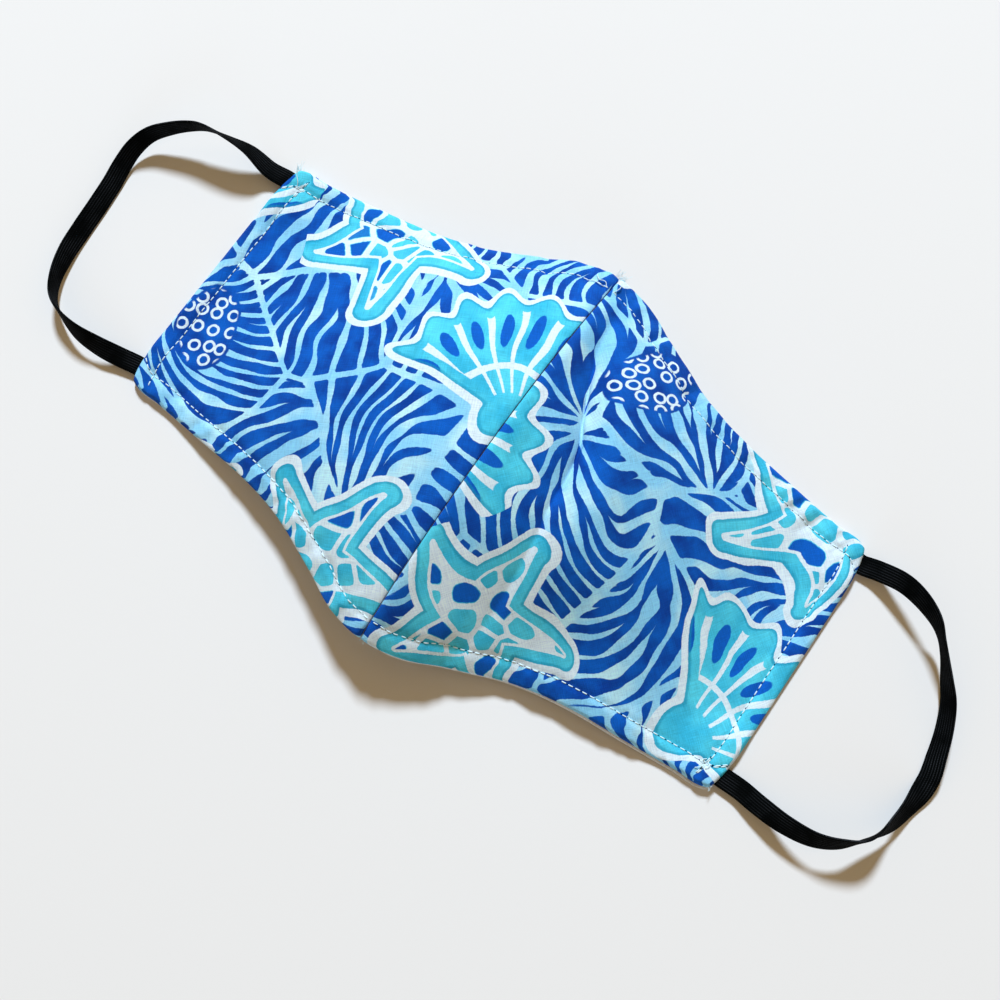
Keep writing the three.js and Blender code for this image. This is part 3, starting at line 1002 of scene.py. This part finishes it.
frayed = (fray("left", edge_mm - 2.6, 43.2, (0.6, 1.0), 16, 2.4, 5)
          + fray("left", 0.8, 66.6, (-0.2, 1.0), 12, 2.2, 6)
          + fray("right", 0.8, 66.4, (0.6, 0.8), 12, 2.4, 7)
          + fray("right", edge_mm - 2.8, -43.2, (0.3, -1.0), 6, 1.4, 8)
          + fray("right", 0.8, -66.8, (0.0, -1.0), 5, 1.2, 9))
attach(add_piece("thread_ends", strand_mesh("thread_ends", thread_ends), sewing_thread), "root")
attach(add_piece("frayed_fibres", strand_mesh("frayed_fibres", frayed), sewing_thread), "root")

# The ear loops
# Quarter-inch braided elastic, black and ribbed along its length. Each piece is caught in the
# side seam at both ends, twists over on its way round and comes to rest on the table.
loop_reach = 48 * mm
loop_rise = 8 * mm
rib_count = 8
rib_height = 0.10 * mm
elastic_black = (0.0006, 0.0010, 0.0012, 1)
strand_black = (0.002, 0.0028, 0.003, 1)
# Grey of the painted sheen on the ribs' crests.
painted_crest_sheen = (0.045, 0.05, 0.06, 1)
elastic_bump = 0.08 * mm
# Route: share of the reach beyond the side edge, place between the sewn ends, share of the
# rise above lying flat, turn in degrees
loop_routes = {
    "left": [
        (0.12, 0.98, 0.24, 12), (0.27, 0.98, 0.70, 38), (0.42, 0.95, 0.92, 60),
        (0.58, 0.91, 0.98, 80), (0.68, 0.86, 0.86, 90), (0.80, 0.76, 0.64, 98),
        (0.91, 0.63, 0.38, 108), (0.96, 0.47, 0.18, 122), (0.96, 0.29, 0.06, 132),
        (0.94, 0.11, 0.00, 138), (0.92, -0.11, 0.00, 140), (0.90, -0.35, 0.00, 138),
        (0.87, -0.57, 0.05, 126), (0.81, -0.79, 0.14, 106), (0.72, -0.95, 0.24, 94),
        (0.59, -1.03, 0.34, 80), (0.43, -1.07, 0.40, 58), (0.26, -1.06, 0.34, 34),
        (0.12, -1.03, 0.20, 14),
    ],
    "right": [
        (0.10, 1.02, 0.30, 16), (0.24, 1.02, 0.70, 34), (0.37, 0.98, 0.90, 50),
        (0.50, 0.91, 0.92, 70), (0.61, 0.82, 0.72, 92), (0.70, 0.72, 0.50, 90),
        (0.79, 0.59, 0.32, 76), (0.88, 0.45, 0.18, 64), (0.95, 0.27, 0.06, 54),
        (1.00, 0.07, 0.00, 42), (1.04, -0.14, 0.00, 16), (1.02, -0.36, 0.06, -30),
        (0.97, -0.57, 0.32, -50), (0.88, -0.77, 0.66, -86), (0.76, -0.91, 0.80, -62),
        (0.61, -1.00, 0.78, -46), (0.43, -1.03, 0.64, -30), (0.26, -1.02, 0.40, -14),
        (0.12, -1.00, 0.20, -6),
    ],
}


def lying_height(turn):
    return elastic_width / 2 * abs(np.sin(turn)) + elastic_thickness / 2 * abs(np.cos(turn))


def loop_stations(panel):
    """Places, in metres, and turns of an elastic from one sewn end to the other."""
    seat = lining_thickness + cloth_clearance + elastic_thickness / 2
    sewn = [elastic_sewn_depth, elastic_sewn_depth / 2, 0]
    rows = [(half_width - depth, elastic_row, seat, 0) for depth in sewn]
    for reach, place, lift, turn in loop_routes[panel]:
        angle = math.radians(turn)
        rows.append((half_width + reach * loop_reach, place * elastic_row,
                     lying_height(angle) + lift * loop_rise, angle))
    rows += [(half_width - depth, -elastic_row, seat, 0) for depth in reversed(sewn)]
    return np.array(rows)


def elastic_strap(panel, sections=420, strands=57):
    """The swept, ribbed elastic as a closed mesh."""
    rows = loop_stations(panel)
    key = np.arange(len(rows))
    at = np.linspace(0, len(rows) - 1, sections)
    path = np.stack([smooth_column(list(zip(key, rows[:, i])), at) for i in range(4)], -1)
    centre, turn = path[:, :3].copy(), path[:, 3]
    centre[:, 2] = np.maximum(centre[:, 2], lying_height(turn))
    centre[:, 0] = centre[:, 0] * (-1 if panel == "left" else 1) + seam_x
    along = np.gradient(centre, axis=0)
    along /= np.linalg.norm(along, axis=1, keepdims=True)
    flat = np.cross([0, 0, 1.0], along)
    flat /= np.linalg.norm(flat, axis=1, keepdims=True)
    up = np.cross(along, flat)
    cosine, sine = np.cos(turn)[:, None], np.sin(turn)[:, None]
    across, through = flat * cosine + up * sine, up * cosine - flat * sine
    share = np.sin(np.linspace(-math.pi / 2, math.pi / 2, strands))
    edge = np.sqrt(np.clip(1 - np.abs(share) ** 5, 0, 1))
    ribs = rib_height * (np.abs(np.cos(share * rib_count * math.pi / 2)) - 1)
    half = (elastic_thickness / 2 + ribs) * (0.25 + 0.75 * edge)
    spread = across[:, None] * (share * elastic_width / 2)[None, :, None]
    upper = centre[:, None] + spread + through[:, None] * half[None, :, None]
    lower = centre[:, None] + spread - through[:, None] * half[None, :, None]
    mesh = closed_mesh(f"ear_loop_{panel}_elastic", upper, lower, True)
    length = np.concatenate([[0], np.cumsum(np.linalg.norm(np.diff(centre, axis=0), axis=1))])
    along = np.tile(length[:, None], (1, strands))
    mark_flat(mesh, along, np.tile(share * elastic_width / 2, (sections, 1)))
    return mesh


def braided_elastic():
    """Black polyester braid: slanting strands, with a little painted grey sheen on the ribs' crests, in
    patches.
    """
    material, shader, wire = new_material("black_elastic", 0.6)
    shader.inputs["Specular IOR Level"].default_value = 0.02
    place = print_place(wire, 0, (0, 0))
    along, across = split(wire, place)
    rib_pitch = elastic_width / mm / rib_count
    crest = wire.math("COSINE", across * (full_turn / rib_pitch)).above(0.75, 0.2)
    slant = wire.math("SINE", along * 9.0 + wire.math("PINGPONG", across + 20, 0.8) * 7.0)
    # Patches where sheen is painted on the crests; the same noise also roughens the bump.
    sheen_patches = wire.noise(place, 9.0, 2.0).above(0.5, 0.15) * wire.noise(place, 0.5, 2.0)
    colour = wire.mix(slant.above(0.2, 0.6) * 0.5, elastic_black, strand_black)
    # Painted highlight: the ribs' crests turn grey in the sheen patches, as if light grazed them.
    colour = wire.mix(crest * sheen_patches, colour, painted_crest_sheen)
    finish_with(shader, wire, colour, slant * 0.6 + sheen_patches, elastic_bump)
    return material


elastic_material = braided_elastic()
for panel in ("left", "right"):
    piece = add_piece(f"ear_loop_{panel}_elastic", elastic_strap(panel), elastic_material)
    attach(piece, "root")
    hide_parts(f"ear_loop_{panel}")
